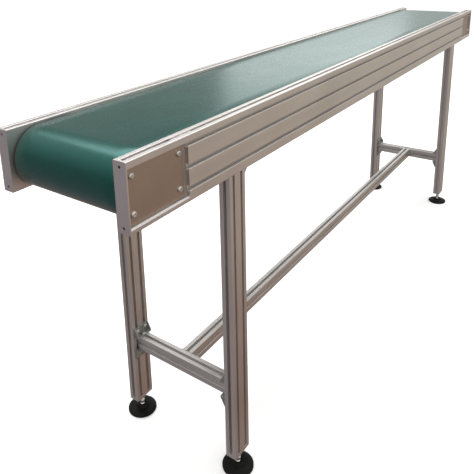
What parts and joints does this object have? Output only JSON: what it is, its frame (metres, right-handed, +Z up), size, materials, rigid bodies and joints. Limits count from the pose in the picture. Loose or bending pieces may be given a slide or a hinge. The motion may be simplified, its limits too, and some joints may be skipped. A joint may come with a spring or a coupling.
{
  "type": "belt conveyor",
  "caption": "Flat belt conveyor section: slotted aluminium side rails, green belt over two end drums, and a profile stand with crossbars, a stringer and levelling feet.",
  "frame": {"origin": "on the floor, midway between the two ends and the two sides", "axes": "+X along the conveyor from the tail end to the drive end, +Y to the left side, +Z up"},
  "size_m": [2.5, 0.41, 0.937],
  "materials": {
    "anodised_profile": "satin anodised",
    "machined_aluminium": "satin machined and anodised",
    "belt_green": "smooth, slightly glossy",
    "steel_sheet": "zinc plated",
    "turned_steel": "turned and ground",
    "zinc_fasteners": "zinc plated",
    "cast_brackets": "die cast, matt",
    "foot_plastic": "moulded, matt",
    "motor_housing": "painted"
  },
  "bodies": {
    "frame": {"side_rail_left": "anodised_profile", "side_rail_right": "anodised_profile", "end_block_tail_left": "machined_aluminium", "end_block_tail_right": "machined_aluminium", "end_block_drive_left": "machined_aluminium", "end_block_drive_right": "machined_aluminium", "cover_plate_tail_left": "machined_aluminium", "cover_plate_tail_right": "machined_aluminium", "cover_plate_drive_left": "machined_aluminium", "cover_plate_drive_right": "machined_aluminium", "cover_plate_screws": "zinc_fasteners", "joiner_bars": "zinc_fasteners", "joiner_grub_screws": "zinc_fasteners", "belt": "belt_green", "slider_bed": "steel_sheet", "cross_member_1": "anodised_profile", "cross_member_2": "anodised_profile", "cross_member_3": "anodised_profile", "cross_member_bolts": "zinc_fasteners", "drive_bearings": "turned_steel", "drive_shaft": "turned_steel", "drive_motor_unit": "motor_housing", "shaft_holders": "machined_aluminium", "shaft_holder_screws": "zinc_fasteners", "return_roller_axles": "turned_steel", "return_roller_bearings": "turned_steel", "return_roller_brackets": "steel_sheet", "leg_tail_left": "anodised_profile", "leg_tail_right": "anodised_profile", "leg_drive_left": "anodised_profile", "leg_drive_right": "anodised_profile", "leg_end_plates": "machined_aluminium", "leg_end_plate_screws": "zinc_fasteners", "crossbar_tail": "anodised_profile", "crossbar_drive": "anodised_profile", "stringer": "anodised_profile", "small_brackets": "cast_brackets", "wide_brackets": "cast_brackets", "slot_screws": "zinc_fasteners", "slot_nuts": "zinc_fasteners", "foot_lock_nuts": "zinc_fasteners"},
    "tail_takeup": {"tail_axle": "turned_steel", "tail_bearings": "turned_steel", "takeup_block_left": "machined_aluminium", "takeup_block_right": "machined_aluminium"},
    "tail_drum": {"tail_drum": "turned_steel"},
    "drive_drum": {"drive_drum_shell": "turned_steel", "drive_drum_end_caps": "turned_steel"},
    "return_roller_tail": {"return_roller_tail": "turned_steel"},
    "return_roller_drive": {"return_roller_drive": "turned_steel"},
    "takeup_screw_left": {"takeup_screw_left": "zinc_fasteners"},
    "takeup_screw_right": {"takeup_screw_right": "zinc_fasteners"},
    "foot_stem_tail_left": {"foot_stem_tail_left": "zinc_fasteners"},
    "foot_base_tail_left": {"foot_base_tail_left": "foot_plastic"},
    "foot_stem_tail_right": {"foot_stem_tail_right": "zinc_fasteners"},
    "foot_base_tail_right": {"foot_base_tail_right": "foot_plastic"},
    "foot_stem_drive_left": {"foot_stem_drive_left": "zinc_fasteners"},
    "foot_base_drive_left": {"foot_base_drive_left": "foot_plastic"},
    "foot_stem_drive_right": {"foot_stem_drive_right": "zinc_fasteners"},
    "foot_base_drive_right": {"foot_base_drive_right": "foot_plastic"}
  },
  "joints": [
    {"name": "tail_takeup_slide", "type": "slide", "parent": "frame", "child": "tail_takeup", "axis": [1, 0, 0], "range_m": [0, 0.015]},
    {"name": "tail_drum_spin", "type": "hinge", "parent": "tail_takeup", "child": "tail_drum", "pos_m": [-1.175, 0, 0.865], "axis": [0, 1, 0], "continuous": true},
    {"name": "drive_drum_spin", "type": "hinge", "parent": "frame", "child": "drive_drum", "pos_m": [1.175, 0, 0.865], "axis": [0, 1, 0], "continuous": true},
    {"name": "return_roller_tail_spin", "type": "hinge", "parent": "frame", "child": "return_roller_tail", "pos_m": [-0.6, 0, 0.823], "axis": [0, 1, 0], "continuous": true},
    {"name": "return_roller_drive_spin", "type": "hinge", "parent": "frame", "child": "return_roller_drive", "pos_m": [0.6, 0, 0.823], "axis": [0, 1, 0], "continuous": true},
    {"name": "takeup_screw_left_turn", "type": "hinge", "parent": "frame", "child": "takeup_screw_left", "pos_m": [-1.175, 0.162, 0.886], "axis": [1, 0, 0], "range_deg": [-4321, 0]},
    {"name": "takeup_screw_right_turn", "type": "hinge", "parent": "frame", "child": "takeup_screw_right", "pos_m": [-1.175, -0.162, 0.886], "axis": [1, 0, 0], "range_deg": [-4321, 0]},
    {"name": "foot_height_tail_left", "type": "slide", "parent": "frame", "child": "foot_stem_tail_left", "axis": [0, 0, 1], "range_m": [-0.03, 0.009]},
    {"name": "foot_swivel_tail_left", "type": "hinge", "parent": "foot_stem_tail_left", "child": "foot_base_tail_left", "pos_m": [-0.92, 0.165, 0.013], "axis": [0, 1, 0], "range_deg": [-8, 8]},
    {"name": "foot_height_tail_right", "type": "slide", "parent": "frame", "child": "foot_stem_tail_right", "axis": [0, 0, 1], "range_m": [-0.03, 0.009]},
    {"name": "foot_swivel_tail_right", "type": "hinge", "parent": "foot_stem_tail_right", "child": "foot_base_tail_right", "pos_m": [-0.92, -0.165, 0.013], "axis": [0, 1, 0], "range_deg": [-8, 8]},
    {"name": "foot_height_drive_left", "type": "slide", "parent": "frame", "child": "foot_stem_drive_left", "axis": [0, 0, 1], "range_m": [-0.03, 0.009]},
    {"name": "foot_swivel_drive_left", "type": "hinge", "parent": "foot_stem_drive_left", "child": "foot_base_drive_left", "pos_m": [0.92, 0.165, 0.013], "axis": [0, 1, 0], "range_deg": [-8, 8]},
    {"name": "foot_height_drive_right", "type": "slide", "parent": "frame", "child": "foot_stem_drive_right", "axis": [0, 0, 1], "range_m": [-0.03, 0.009]},
    {"name": "foot_swivel_drive_right", "type": "hinge", "parent": "foot_stem_drive_right", "child": "foot_base_drive_right", "pos_m": [0.92, -0.165, 0.013], "axis": [0, 1, 0], "range_deg": [-8, 8]}
  ],
  "couplings": [
    {"joint": "tail_drum_spin", "follows": "drive_drum_spin", "ratio": 1},
    {"joint": "return_roller_tail_spin", "follows": "drive_drum_spin", "ratio": -3.25},
    {"joint": "return_roller_drive_spin", "follows": "drive_drum_spin", "ratio": -3.25},
    {"joint": "takeup_screw_left_turn", "follows": "tail_takeup_slide", "rad_per_m": -5026.5},
    {"joint": "takeup_screw_right_turn", "follows": "tail_takeup_slide", "rad_per_m": -5026.5}
  ]
}
